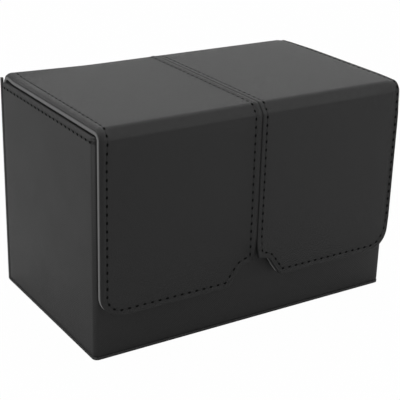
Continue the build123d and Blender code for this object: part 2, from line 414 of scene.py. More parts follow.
def makeWorld():
    world = bpy.data.worlds.new("studio")
    bpy.context.scene.world = world
    world.use_nodes = True
    nodes = world.node_tree.nodes
    links = world.node_tree.links
    strength = nodes.new("ShaderNodeMapRange")
    links.new(seenDirectly(nodes, links), strength.inputs[0])
    strength.inputs[3].default_value = studio["worldGlow"]
    strength.inputs[4].default_value = 1.0
    glow = nodes["Background"]
    glow.inputs["Color"].default_value = (1, 1, 1, 1)
    links.new(strength.outputs[0], glow.inputs["Strength"])


def makeFloor():
    bpy.ops.object.select_all(action="DESELECT")
    bpy.ops.mesh.primitive_plane_add(size=studio["floorSide"], location=(0, 0, 0))
    floor = bpy.context.object
    floor.name = "floor"
    finish = Finish("floor_white")
    plain = finish.add("Emission")
    mix = finish.add("MixShader")
    tone = studio["floorTone"]
    finish.set(Base_Color=(tone, tone, tone, 1), Roughness=studio["floorRough"], Specular_IOR_Level=0.0)
    path = finish.add("LightPath").outputs
    mirrored = finish.math("MAXIMUM", path["Is Glossy Ray"], path["Is Transmission Ray"])
    share = finish.math("MAXIMUM", finish.math("MULTIPLY", path["Is Camera Ray"], studio["floorWhite"]),
                        finish.math("MULTIPLY", mirrored, studio["floorGloss"]))
    finish.links.new(share, mix.inputs[0])
    finish.links.new(finish.shader.outputs[0], mix.inputs[1])
    finish.links.new(plain.outputs[0], mix.inputs[2])
    finish.links.new(mix.outputs[0], finish.nodes["Material Output"].inputs["Surface"])
    floor.data.materials.append(finish.material)


def makeLamps():
    for name, lamp in lamps.items():
        light = bpy.data.lights.new(name, "AREA")
        light.size = lamp["size"]
        light.energy = lamp["watts"]
        thing = bpy.data.objects.new(name, light)
        bpy.context.collection.objects.link(thing)
        thing.location = lamp["place"]
        aim = view["target"] - thing.location
        thing.rotation_euler = aim.to_track_quat("-Z", "Y").to_euler()


makeCamera()
makeWorld()
makeFloor()
makeLamps()
bpy.context.scene.view_settings.view_transform = "Standard"
print("camera, light and floor are set")


# The frame's places that the lids and the body start from.
coverLow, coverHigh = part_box("right_lid_cover")
hingeLow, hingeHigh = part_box("right_hinge_cover")
skinLow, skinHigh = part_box("body_skin")
middleX = (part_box("left_lid_cover")[0].x + coverHigh.x) / 2
topZ = coverHigh.z
rearBendY = hingeLow.y
rearRadius = hingeHigh.y - hingeLow.y
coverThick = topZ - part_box("right_lid_lining")[1].z


stitch = {
    "length": 3.0 * mm, "width": 0.85 * mm, "height": 0.45 * mm, "pitch": 4.0 * mm,
    "holeLength": 1.65 * mm, "holeWidth": 1.25 * mm, "holeHeight": 0.12 * mm,  # the dark discs of painted hole shade between the threads
    "holeRise": 0.12 * mm,      # how far a hole stands above the thread's middle
    "segments": 8, "rings": 6,  # of each thread and hole
}
arcSteps = 8  # in each corner that a row of stitches follows


def offsetCorners(corners, inward):  # an open outline moved in; the inside is on its right
    moved = []
    for index, corner in enumerate(corners):
        before = (corner - corners[max(index - 1, 0)]).normalized()
        after = (corners[min(index + 1, len(corners) - 1)] - corner).normalized()
        before, after = before or after, after or before
        sideBefore = Vector((before.y, -before.x))
        sideAfter = Vector((after.y, -after.x))
        moved.append(corner + (sideBefore + sideAfter) * inward / (1 + sideBefore.dot(sideAfter)))
    return moved


def roundedRoute(corners, radii):  # the corner points, with each inner corner as an arc
    route = [corners[0]]
    for before, corner, after, radius in zip(corners, corners[1:], corners[2:], radii):
        inWay = (corner - before).normalized()
        outWay = (after - corner).normalized()
        turn = math.atan2(inWay.cross(outWay), inWay.dot(outWay))
        start = corner - inWay * radius * math.tan(abs(turn) / 2)
        centre = start + Vector((-inWay.y, inWay.x)) * math.copysign(radius, turn)
        for step in range(arcSteps + 1):
            route.append(centre + Matrix.Rotation(turn * step / arcSteps, 2) @ (start - centre))
    return route + [corners[-1]]


def walk(route, pitch, first):  # evenly spaced places on the route, each with its way, from a share of a step
    lengths = [(after - before).length for before, after in zip(route, route[1:])]
    step = sum(lengths) / max(1, round(sum(lengths) / pitch))
    wanted = step * first
    passed = 0.0
    for before, after, length in zip(route, route[1:], lengths):
        while length > 0 and wanted <= passed + length:
            way = (after - before) / length
            yield before + way * (wanted - passed), way
            wanted += step
        passed += length


def bead(long, high, wide, material, place=(0, 0, 0)):  # a small rounded body along X
    bpy.ops.object.select_all(action="DESELECT")
    bpy.ops.mesh.primitive_uv_sphere_add(segments=stitch["segments"], ring_count=stitch["rings"],
                                         rotation=(0, quarterTurn, 0))
    thing = bpy.context.object
    applyPlace(thing)
    thing.scale = Vector((long, high, wide)) / 2
    moveTo(thing, place)
    thing.data.materials.append(material)
    return thing


def sew(name, route, put, size=1.0, outward=1, keep=None):
    # put gives a stitch's place and turn, with the outside along Y; keep picks the spots that get one
    stretch = bead(stitch["length"] * size, stitch["height"] * size, stitch["width"] * size, sewingThread)
    # each hole is a dark disc of painted shade
    hole = bead(stitch["holeLength"] * size, stitch["holeHeight"], stitch["holeWidth"] * size, holeShade,
                (0, stitch["holeRise"] * size * outward, 0))
    row = []
    for first, thing in ((0.5, stretch), (0.0, hole)):
        for spot, way in walk(route, stitch["pitch"] * size, first):
            if keep is None or keep(spot):
                twin = copyOf(thing, name)
                twin.location, twin.rotation_euler = put(spot, way)
                row.append(twin)
        remove(thing)
    row = joined(name, row)
    applyPlace(row)
    bpy.ops.object.shade_smooth()
    return row


cornerCut = {"wide": 4 * mm, "wideSegments": 10, "segments": 5}  # a radius over "wide" gets more segments


def cutCorner(face, spot, radius, turn=quarterTurn):  # rounds one corner of a flat face
    segments = cornerCut["wideSegments" if radius > cornerCut["wide"] else "segments"]
    pick(face, "VERT", lambda middle, vert: near(middle, spot))
    bpy.ops.mesh.bevel(offset=radius * math.tan(turn / 2), offset_type="OFFSET", affect="VERTICES",
                       segments=segments)


def layRings(profile, start, side):  # rings inward from the picked face; side is 1 outside, -1 inside
    distance, height = start
    for nextDistance, nextHeight, *merge in profile:
        bpy.ops.mesh.inset(thickness=(nextDistance - distance) * mm, depth=side * (nextHeight - height) * mm)
        if merge:  # the corners have shrunk to a point
            bpy.ops.mesh.remove_doubles(threshold=merge[0] * mm)
        distance, height = nextDistance, nextHeight


def thicken(face, layer):  # gives a flat face its thickness and a shaped edge on both sides
    low, high = layer["rim"]
    up = face.data.polygons[0].normal.copy()
    startEdit(face)
    bpy.ops.transform.translate(value=up * low * mm)
    bpy.ops.mesh.extrude_region_move(TRANSFORM_OT_translate={"value": up * (high - low) * mm})
    layRings(layer["outside"], (0.0, high), 1)
    pick(face, "FACE", lambda middle, part: part.normal.dot(up) < -facing)
    layRings(layer["inside"], (0.0, low), -1)
    endEdit()


def gridCuts(piece, alongs, acrosses):  # cuts the whole piece at these places in Z and in X
    startEdit(piece)
    for places, normal in ((alongs, (0, 0, 1)), (acrosses, (1, 0, 0))):
        for place in places:
            bpy.ops.mesh.select_all(action="SELECT")
            bpy.ops.mesh.bisect(plane_co=Vector(normal) * place, plane_no=normal)
    endEdit()


def steps(start, end, count):  # the places between start and end
    return [start + (end - start) * index / count for index in range(1, count)]


def flatMap(piece):  # the flat sheet's own places, in metres, for the grain
    layer = piece.data.uv_layers.new(name="flat")
    for loop in piece.data.loops:
        place = piece.data.vertices[loop.vertex_index].co
        layer.data[loop.index].uv = (place.x, place.z)


# Each lid and its hinge start as flat sheets that are cut, stitched, bent at the front and rear, and placed.
# A flat sheet lies in X and Z with its outside up in Y.  Z is 0 where the front bend starts, less behind it.
lid = {
    "frontRadius": 5.5 * mm, "liningThick": 1.8 * mm,
    "notchBottom": 30.6 * mm, "notchTop": 15.2 * mm, "notchHeight": 10.7 * mm,
    "outerCorner": 11 * mm, "notchCorner": 4 * mm, "notchTopCorner": 5 * mm, "seamCorner": 0.8 * mm,
    "spare": 8 * mm,                                                     # behind the hinge, trimmed off
    "alongCuts": 15, "acrossCuts": 14, "bendCuts": 14, "hingeCuts": 16,  # even stretches
}
# Rings of mm in from the edge and mm above the lid's outside, some with a width that is merged.
coverLayer = {
    "rim": (-1.35, -0.85),
    "outside": [(0.15, -0.75), (0.4, -0.6), (0.76, -0.45, 0.2), (1.2, -0.27), (1.8, -0.07), (2.3, 0.02),
                (2.6, -0.05), (2.78, -0.17), (3.02, -0.17), (3.2, -0.05), (3.45, 0.0), (3.93, 0.0, 0.45),
                (4.5, 0.0)],
    "inside": [(0.25, -1.58)],
}
liningLayer = {
    "rim": (-3.1, -2.05),
    "outside": [(0.12, -1.75), (0.45, -1.62)],
    "inside": [(0.1, -3.32), (0.4, -3.4), (0.76, -3.4, 0.2), (2.4, -3.4), (2.7, -3.26), (3.1, -3.26),
               (3.4, -3.4)],
}
lidStitch = {"line": 2.9 * mm, "tightTurn": 0.3 * mm, "outer": -0.14 * mm, "inner": -3.36 * mm}

topLength = rearBendY - (coverLow.y + lid["frontRadius"])
bendLength = lid["frontRadius"] * quarterTurn
hingeLength = rearRadius * quarterTurn
sheetEnd = bendLength + topZ - lid["frontRadius"] - coverLow.z
seamX = coverLow.x - middleX
sideX = coverHigh.x - middleX
notchStart = sheetEnd - lid["notchHeight"]
rearEnd = -topLength - hingeLength


def lidCorners(rear):  # the flat outline, from the rear of the seam round to the rear of the side
    return [Vector((seamX, rear)), Vector((seamX, notchStart)), Vector((lid["notchTop"] / 2, notchStart)),
            Vector((lid["notchBottom"] / 2, sheetEnd)), Vector((sideX, sheetEnd)), Vector((sideX, rear))]


def lidFace(name):  # a flat face with the lid's outline, in X and Z, that looks along +Y
    bpy.ops.object.select_all(action="DESELECT")
    rear = rearEnd - lid["spare"]
    bpy.ops.mesh.primitive_plane_add(size=1, rotation=(-quarterTurn, 0, 0),
                                     location=((seamX + sideX) / 2, 0, (rear + sheetEnd) / 2))
    face = bpy.context.object
    face.name = name
    face.scale = (sideX - seamX, sheetEnd - rear, 1)
    applyPlace(face)
    seam, slant, foot, side = lidCorners(rear)[1:5]
    startEdit(face)
    bpy.ops.mesh.bisect(plane_co=(0, 0, notchStart), plane_no=(0, 0, 1))
    pick(face, "FACE", lambda middle, part: middle.z > notchStart)
    across = Vector((slant.y - foot.y, 0, foot.x - slant.x)).normalized()
    bpy.ops.mesh.bisect(plane_co=(foot.x, 0, foot.y), plane_no=across)
    pick(face, "FACE", lambda middle, part: middle.z > notchStart and middle.x < foot.x)
    bpy.ops.mesh.delete(type="FACE")
    pick(face, "EDGE", lambda middle, edge: abs(middle.z - notchStart) < hair and middle.x > slant.x)
    bpy.ops.mesh.dissolve_edges(use_verts=False)
    slope = math.atan2(foot.y - slant.y, foot.x - slant.x)
    cutCorner(face, (seam.x, 0, seam.y), lid["seamCorner"])
    cutCorner(face, (slant.x, 0, slant.y), lid["notchTopCorner"], slope)
    cutCorner(face, (foot.x, 0, foot.y), lid["notchCorner"], slope)
    cutCorner(face, (side.x, 0, side.y), lid["outerCorner"])
    endEdit()
    return face


def within(value, low, high):  # 0 at low, 1 at high
    return min(1.0, max(0.0, (value - low) / (high - low)))


def hump(value, crest, reach):  # 1 at the crest, falling smoothly to 0 at the reach
    away = (value - crest) / reach
    return max(0.0, 1 - away * away) ** 2


margins = {  # mm above the lid's outside of the cover's rim and first five rings, as settled at each edge
    "left": {"seam": (-0.15, 0.08, 0.2, 0.26, 0.24, 0.14), "foot": (-0.2, 0.16, 0.38, 0.44, 0.34, 0.14),
             "side": (-0.95, -0.85, -0.7, -0.48, -0.22, 0.02)},
    "right": {"seam": (-0.3, -0.08, 0.02, 0.03, 0.02, 0.0), "foot": (-0.2, 0.2, 0.44, 0.5, 0.38, 0.16),
              "side": (-0.25, 0.0, 0.1, 0.12, 0.05, -0.04)},
    "seamWidth": 4 * mm, "seamTurn": 0.8 * mm, "sideWidth": 3 * mm,
    "slack": 0.004 * mm,  # a vertex this near to a ring's height is on it
}


def shapeMargins(sheet, heights):  # gives those rings their own heights along each edge
    plain = [coverLayer["rim"][1]] + [ring[1] for ring in coverLayer["outside"]]
    turn = margins["seamTurn"]
    for vertex in sheet.data.vertices:
        x, y, z = vertex.co
        side = within(x, sideX - lid["outerCorner"], sideX - margins["sideWidth"])
        seam = 0.0
        if x < seamX + margins["seamWidth"]:
            seam = within(notchStart - z - (x - seamX), -turn, turn)
        for ring, atFoot, atSeam, atSide in zip(plain, heights["foot"], heights["seam"], heights["side"]):
            if abs(y - ring * mm) < margins["slack"]:
                vertex.co.y = (atFoot + (atSeam - atFoot) * seam + (atSide - atFoot) * side) * mm


# How this box's lids have settled, in mm.  "line" moves the side's stitches inward on the flap, at the top's
# front and at its rear.  "spread" moves the side's edge out and "curl" presses its margin down, on the flap
# and on the top.  "dip" takes spread away round the front bend.  "seam" moves the seam's edge out.  "bow"
# raises the rear bend at the side and at the seam.
settled = {
    "left": {"line": (0.1, 1.1, 1.7), "spread": (0.0, 0.0), "curl": (0.0, 0.0), "dip": 0.0, "seam": 0.65,
             "bow": (0.9, -0.4)},
    "right": {"line": (-2.1, -2.1, -2.1), "spread": (1.25, 1.45), "curl": (0.9, 0.6), "dip": 1.2,
              "seam": -0.25, "bow": (-0.4, -0.4)},
}
reaches = {  # where those moves start and where they are full
    "line": (14 * mm, 4 * mm), "lineEdge": 2.3 * mm,       # in from the side's edge
    "lineStill": 1.5 * mm,                                 # the rim stays where its stitches move inward
    "spread": (4 * mm, 0.0), "curl": (4.5 * mm, 1.2 * mm), "seam": (0.5 * mm, 0.0),
    "foot": (8 * mm, 16 * mm), "rear": (5 * mm, 25 * mm),  # from the sheet's two ends
    "curlDepth": 1.1 * mm,                                 # only the outside curls
    "dipCrest": 5 * mm, "dipReach": 17 * mm,               # from the front bend's start
    "bowCrest": -2.5 * mm, "bowReach": 8 * mm,             # from the rear bend's start
    "bowWidth": 44 * mm,                                   # in from the side's edge
}


def settle(piece, moves, outer):  # moves the edges and the side's stitches of a flat sheet
    flapLine, frontLine, rearLine = (value * mm for value in moves["line"])
    flapSpread, topSpread = (value * mm for value in moves["spread"])
    flapCurl, topCurl = (value * mm for value in moves["curl"])
    sideBow, seamBow = (value * mm for value in moves["bow"])
    for vertex in piece.data.vertices:
        x, y, z = vertex.co
        inward = sideX - x
        topLine = frontLine + (rearLine - frontLine) * within(z, 0, -topLength)
        onTop = within(z, 2 * bendLength, 0)  # 0 on the flap, 1 on the top
        line = flapLine + (topLine - flapLine) * onTop
        still = reaches["lineStill"] if line > 0 else 0.0
        share = within(inward, still, reaches["lineEdge"]) * within(inward, *reaches["line"])
        fade = within(sheetEnd - z, *reaches["foot"])
        vertex.co.x -= share * line * fade
        if outer and y > -reaches["curlDepth"]:
            curl = flapCurl + (topCurl - flapCurl) * onTop
            vertex.co.y -= curl * within(sideX - vertex.co.x, *reaches["curl"]) * fade
        spread = flapSpread + (topSpread - flapSpread) * onTop
        spread -= moves["dip"] * mm * hump(z, reaches["dipCrest"], reaches["dipReach"])
        spread *= within(z + topLength, *reaches["rear"]) * fade
        vertex.co.x += spread * within(inward, *reaches["spread"])
        vertex.co.x -= moves["seam"] * mm * within(x - seamX, *reaches["seam"])
        bow = seamBow + (sideBow - seamBow) * within(vertex.co.x, sideX - reaches["bowWidth"], sideX)
        vertex.co.y += bow * hump(z + topLength, reaches["bowCrest"], reaches["bowReach"])


def trimmed(sheet, name, place, keepFront):  # a copy of the sheet, cut off at this place
    piece = copyOf(sheet, name)
    startEdit(piece)
    bpy.ops.mesh.bisect(plane_co=(0, 0, place), plane_no=(0, 0, 1), use_fill=True,
                        clear_inner=keepFront, clear_outer=not keepFront)
    endEdit()
    return piece


def bendRound(piece, place, radius, low, high):  # a quarter turn toward the inside, from low to high
    bpy.context.scene.cursor.location = (0, 0, place)
    selectOnly(piece)
    bpy.ops.object.origin_set(type="ORIGIN_CURSOR")
    heights = [vertex.co.z for vertex in piece.data.vertices]
    lowest, highest = min(heights), max(heights)
    low, high = max(low, lowest), min(high, highest)
    span = highest - lowest
    useModifier(piece, "SIMPLE_DEFORM", deform_method="BEND", deform_axis="X", angle=(low - high) / radius,
                limits=((low - lowest) / span, (high - lowest) / span))
    bpy.context.scene.cursor.location = (0, 0, 0)
    selectOnly(piece)
    bpy.ops.object.origin_set(type="ORIGIN_CURSOR")


facet = {  # both bends are pressed into a flat between two folds
    "turn": math.radians(39.5),                    # how far above level the flat looks
    "upperFold": 3.0 * mm, "lowerFold": 1.5 * mm,  # radii on the front bend, and in proportion on the rear
    "fade": 7 * mm,                                # the front bend stays round toward the side's edge
}


def bendFront(piece, outer):
    bendRound(piece, 0, lid["frontRadius"], 0, bendLength)
    if outer:
        pressFacet(piece, 0, lid["frontRadius"], 1, facet["fade"])


def bendRear(piece, outer):
    bendRound(piece, -topLength, rearRadius, -hingeLength, 0)
    if outer:
        pressFacet(piece, -topLength, rearRadius, -1)


def foldReach(radius, fold, turn):  # from the bend's middle to a fold's outside, at this turn from the fold
    gap = radius - fold
    return gap * math.cos(turn) + math.sqrt(fold ** 2 - (gap * math.sin(turn)) ** 2)


def pressFacet(piece, place, radius, way, fade=0):  # way is 1 toward the front, -1 toward the rear
    upper, lower = (facet[fold] * radius / lid["frontRadius"] for fold in ("upperFold", "lowerFold"))
    turn = facet["turn"]
    reach = (radius - lower) * math.cos(turn) + lower  # the flat's distance from the bend's middle
    for vertex in piece.data.vertices:
        ahead, above = (vertex.co.z - place) * way, vertex.co.y + radius
        if ahead <= 0 or above <= 0:
            continue
        rise = math.atan2(above, ahead)
        wanted = reach / math.cos(rise - turn)
        if wanted * math.sin(rise) < lower * math.sin(turn):
            wanted = foldReach(radius, lower, rise)
        elif wanted * math.cos(rise) < upper * math.cos(turn):
            wanted = foldReach(radius, upper, quarterTurn - rise)
        press = (radius - wanted) * within(math.hypot(above, ahead), radius - coverThick, radius)
        if fade:
            press *= within(sideX - vertex.co.x, 0, fade)
        vertex.co.z -= press * math.cos(rise) * way
        vertex.co.y -= press * math.sin(rise)


def placeLid(piece, side):  # stands the bent sheet on the box; side is 1 at the right, -1 at the left
    piece.rotation_euler = (quarterTurn, 0, 0)
    piece.scale = (side, 1, 1)
    moveTo(piece, (middleX, coverLow.y + lid["frontRadius"], topZ))
    faceOutward(piece)


def lidStitches(height, outward, rear):  # the row of stitches on one side of the sheet, split at the hinge
    line, tight = lidStitch["line"], lidStitch["tightTurn"]
    corners = offsetCorners(lidCorners(rearEnd), line)
    radii = [tight, lid["notchTopCorner"] + line, max(tight, lid["notchCorner"] - line),
             lid["outerCorner"] - line]

    def put(spot, way):
        return (spot.x, height, spot.y), (0, -math.atan2(way.y, way.x), 0)
    return sew("thread", roundedRoute(corners, radii), put, outward=outward,
               keep=lambda spot: (spot.y < -topLength) == rear)


def makeLidSheets(word):  # the parts of one lid and its hinge, bent but not yet in place
    made = {}
    for key, layer in (("cover", coverLayer), ("lining", liningLayer)):
        sheet = lidFace(key)
        thicken(sheet, layer)
        if key == "cover":
            shapeMargins(sheet, margins[word])
        front = trimmed(sheet, "lid_" + key, -topLength, True)
        rear = trimmed(sheet, "hinge_" + key, -topLength, False)
        startEdit(rear)
        bpy.ops.mesh.bisect(plane_co=(0, 0, rearEnd), plane_no=(0, 0, 1), use_fill=True, clear_inner=True)
        endEdit()
        remove(sheet)
        acrosses = steps(seamX, sideX, lid["acrossCuts"])
        alongs = steps(-topLength, 0, lid["alongCuts"]) + steps(0, bendLength, lid["bendCuts"])
        alongs += [0, bendLength] + steps(bendLength, sheetEnd, lid["alongCuts"])
        gridCuts(front, alongs, acrosses)
        gridCuts(rear, steps(rearEnd, -topLength, lid["hingeCuts"]), acrosses)
        for piece in (front, rear):
            flatMap(piece)
        made["lid_" + key] = front
        made["hinge_" + key] = rear
    for key, outward in (("outer", 1), ("inner", -1)):
        made["lid_thread_" + key] = lidStitches(lidStitch[key], outward, False)
        made["hinge_thread_" + key] = lidStitches(lidStitch[key], outward, True)
    for key, piece in made.items():
        outer = key.endswith(("cover", "outer"))
        settle(piece, settled[word], outer)
        bend = bendRear if key.startswith("hinge") else bendFront
        bend(piece, outer)
    return made


lifted = {  # the right lid's inner lower corner is drawn up and forward
    "by": (0, -2.6 * mm, 2.5 * mm), "reach": 14 * mm,
    "tuck": 2.0 * mm,  # its lining lies further in
}


def liftCorner(piece):
    corner = Vector((middleX + seamX, coverLow.y, coverLow.z + lid["notchHeight"]))
    lift = Vector(lifted["by"])
    if "lining" in piece.name:
        lift.x += lifted["tuck"]
    for vertex in piece.data.vertices:
        share = max(0.0, 1 - (vertex.co - corner).length / lifted["reach"])
        vertex.co += lift * share * share


def makeLids():
    looks = {  # material, slot and how far under the cover's outside the layer reaches
        "cover": (bentLeather, "leatherette", coverThick),
        "lining": (greyVelvet, "lining", coverThick + lid["liningThick"]),
        "thread_outer": (None, "leatherette", coverThick),
        "thread_inner": (None, "leatherette", coverThick + lid["liningThick"]),
    }
    for side, word in ((1, "right"), (-1, "left")):
        for key, piece in makeLidSheets(word).items():
            part, layer = key.split("_", 1)
            material, slot, depth = looks[layer]
            node = word + "_" + key
            stands = [node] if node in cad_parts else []
            piece.name = node + "_dressed"
            placeLid(piece, side)
            smoothEdges(piece)
            if part == "lid":
                if word == "right":
                    liftCorner(piece)
                dress(piece, material, slot, word + "_lid", stands)
            else:
                dress(piece, material, slot, None, stands)
                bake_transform(piece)


makeLids()
print("lids and hinges are made")


def flatFace(name, width, depth, corner=0.0, rearCorner=0.0):  # a flat face in X and Y with rounded corners
    bpy.ops.object.select_all(action="DESELECT")
    bpy.ops.mesh.primitive_plane_add(size=1)
    face = bpy.context.object
    face.name = name
    face.scale = (width, depth, 1)
    applyPlace(face)
    startEdit(face)
    for radius, place in ((corner, -depth / 2), (rearCorner, depth / 2)):
        for side in (-width / 2, width / 2):
            if radius:
                cutCorner(face, (side, place, 0), radius)
    endEdit()
    return face


def ringWall(name, low, high, corner, rearCorner, rings):  # a closed wall through rings of (mm in, height)
    width, depth = high.x - low.x, high.y - low.y
    wall = flatFace(name, width, depth, corner, rearCorner)
    startEdit(wall)
    bpy.ops.mesh.delete(type="ONLY_FACE")
    bpy.ops.mesh.select_mode(type="EDGE")
    bpy.ops.mesh.select_all(action="SELECT")
    lastIn, lastUp = 0.0, 0.0
    for index, (inward, up) in enumerate(rings):
        if index:
            bpy.ops.mesh.extrude_region_move()
        grow = ((width - 2 * inward * mm) / (width - 2 * lastIn * mm),
                (depth - 2 * inward * mm) / (depth - 2 * lastIn * mm), 1)
        bpy.ops.transform.resize(value=grow, center_override=(0, 0, lastUp))
        bpy.ops.transform.translate(value=(0, 0, up - lastUp))
        lastIn, lastUp = inward, up
    pick(wall, "EDGE", lambda middle, edge: edge.is_boundary)
    bpy.ops.mesh.bridge_edge_loops()
    endEdit()
    moveTo(wall, overMiddle(low, high))
    faceOutward(wall)
    return wall


def cutBox(thing, low, high):  # takes a box out of a piece
    cutter = boxBetween(low, high)
    useModifier(thing, "BOOLEAN", operation="DIFFERENCE", solver="EXACT", object=cutter)
    remove(cutter)


rearDrop = {
    "length": 0.2 * mm,  # behind the lids' bend the rim comes down over this length
    "squeeze": 0.01,     # share of its own height that is left
}


def dropRear(thing, level, halfWidth=math.inf):  # lowers the rim behind the lids' bend
    startEdit(thing)
    for place in (rearBendY, rearBendY + rearDrop["length"]):
        bpy.ops.mesh.select_all(action="SELECT")
        bpy.ops.mesh.bisect(plane_co=(0, place, 0), plane_no=(0, 1, 0))
    endEdit()
    for vertex in thing.data.vertices:
        place = vertex.co
        behind = place.y > rearBendY + rearDrop["length"] / 2
        if behind and abs(place.x - middleX) < halfWidth and place.z > level:
            place.z = level - (thing.dimensions.z - place.z) * rearDrop["squeeze"]


wrap = {  # the skin over the body's boards
    "corner": 2.5 * mm, "rearCorner": 1.0 * mm,
    "drop": 0.7 * mm,                                 # the lower edge reaches down to the base
    "thick": 0.7,                                     # mm, below the rim
    "foot": [(0.25, 0.0), (0.08, 0.08), (0.0, 0.3)],  # mm in, mm above the lower edge
    "rim": [(0.0, -3.25), (0.05, -3.1), (0.24, -2.8), (0.24, -2.4), (0.05, -2.1), (0.0, -1.95), (0.1, -1.45),
            (0.12, -1.1), (0.02, -0.55), (0.05, -0.35), (0.25, -0.12), (0.7, 0.0), (1.7, 0.0), (2.15, -0.14),
            (2.36, -0.4), (2.4, -0.7)],               # mm in, mm above the top
    "threadDown": 2.6 * mm, "threadIn": 0.1 * mm,     # the rim's stitches, from the top and from the outside
    "threadEnd": 3 * mm,                              # they end before the back
    "mouthSide": 0.4 * mm, "mouthFoot": 0.15 * mm,    # gap round the drawer's face
    "mouthDepth": 5 * mm,                             # the cut goes this far past that face
}


def makeWrap():
    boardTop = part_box("rear_wall_board")[1].z
    faceLow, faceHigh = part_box("drawer_face_skin")
    lowest = skinLow.z - wrap["drop"]
    rings = [(inward, lowest + up * mm) for inward, up in wrap["foot"]]
    rings += [(inward, skinHigh.z + up * mm) for inward, up in wrap["rim"]]
    rings += [(wrap["thick"], skinHigh.z - wrap["thick"] * mm), (wrap["thick"], lowest)]
    body = ringWall("body_wrap", skinLow, skinHigh, wrap["corner"], wrap["rearCorner"], rings)
    dropRear(body, boardTop + wrap["thick"] * mm, skinHigh.x - middleX - wrap["thick"] * mm)
    depth, side = wrap["mouthDepth"], wrap["mouthSide"]
    cutBox(body, faceLow - Vector((depth, side, wrap["mouthFoot"])), faceHigh + Vector((depth, side, side)))
    smoothEdges(body)
    dress(body, wallLeatherPaintedShade, "leatherette", "case", ["body_skin"])


def sewRim():
    left, right = skinLow.x + wrap["threadIn"], skinHigh.x - wrap["threadIn"]
    front, rear = skinLow.y + wrap["threadIn"], skinHigh.y - wrap["threadEnd"]
    corners = [Vector(spot) for spot in ((right, rear), (right, front), (left, front), (left, rear))]
    height = skinHigh.z - wrap["threadDown"]

    def put(spot, way):
        return (spot.x, spot.y, height), (0, 0, math.atan2(way.y, way.x))
    row = sew("rim_thread", roundedRoute(corners, [wrap["corner"]] * 2), put)
    dress(row, None, "leatherette", "case")


roomLining = {
    "thick": 0.5, "corner": 0.6 * mm,
    "rim": [(0.0, -0.3), (0.1, -0.08), (0.25, 0.0), (0.4, -0.08), (0.5, -0.3)],  # mm in, mm above the top
}
floorPad = {
    "corner": 1.0 * mm, "rim": (0.2, 0.6),
    "outside": [(0.12, 0.82), (0.5, 0.96), (0.96, 1.0, 0.22), (2.5, 1.05), (8, 1.2), (20, 1.3)],
    "inside": [(0.1, 0.03), (0.3, 0.0)],
}


def makeRooms():
    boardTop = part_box("rear_wall_board")[1].z
    corner = floorPad["corner"]
    for word in ("left", "right"):
        low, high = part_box(word + "_room_lining")
        rings = [(0.0, low.z)] + [(inward, high.z + up * mm) for inward, up in roomLining["rim"]]
        walls = ringWall(word + "_room_velvet", low, high, roomLining["corner"], roomLining["corner"],
                         rings + [(roomLining["thick"], low.z)])
        dropRear(walls, boardTop)
        smoothEdges(walls)
        dress(walls, greyVelvet, "lining", "case", [word + "_room_lining"])
        low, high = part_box(word + "_floor_pad")
        pad = flatFace(word + "_room_pad", high.x - low.x, high.y - low.y, corner, corner)
        thicken(pad, floorPad)
        moveTo(pad, overMiddle(low, high, low.z))
        smoothEdges(pad)
        dress(pad, greyVelvet, "lining", "case", [word + "_floor_pad"])


basePanel = {
    "lip": 0.3 * mm,  # stands out from the walls in front and at the left
    "corner": 2.6 * mm, "rim": (0.25, 1.1),
    "outside": [(0.08, 1.3), (0.3, 1.4)], "inside": [(0.06, 0.07), (0.25, 0.0)],
}


def makeBase():
    low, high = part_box("base_panel")
    lip = basePanel["lip"]
    low = low - Vector((lip, lip, 0))
    base = flatFace("base_wrap", high.x - low.x, high.y - low.y, basePanel["corner"])
    thicken(base, basePanel)
    moveTo(base, overMiddle(low, high, low.z))
    smoothEdges(base)
    dress(base, wallLeatherPaintedShade, "leatherette", "case", ["base_panel"])


backPanel = {
    "rim": (0.4, 1.95), "outside": [(0.1, 2.25), (0.35, 2.4)], "inside": [(0.12, 0.12), (0.35, 0.0)],
    "tipGap": 0.35 * mm,  # between a lid's side and the tip beside it
    "stitchLine": 3.2 * mm, "threadDown": 0.08 * mm,  # in from the edges, and under the outside
    "grooveHalf": 0.4 * mm, "grooveDepth": 0.28 * mm,
    "grooveFrom": 2.3 * mm,  # only the outside has the groove
}


def pressGroove(back, side, foot, head):  # a shallow groove under the back's stitches
    half = backPanel["grooveHalf"]
    gridCuts(back, [line + turn for line in (foot, head) for turn in (-half, 0, half)],
             [line + turn for line in (-side, side) for turn in (-half, 0, half)])
    for vertex in back.data.vertices:
        place = vertex.co
        onSide = abs(abs(place.x) - side) < hair and foot - half < place.z < head + half
        onLine = min(abs(place.z - foot), abs(place.z - head)) < hair and abs(place.x) < side + half
        if place.y > backPanel["grooveFrom"] and (onSide or onLine):
            place.y -= backPanel["grooveDepth"]


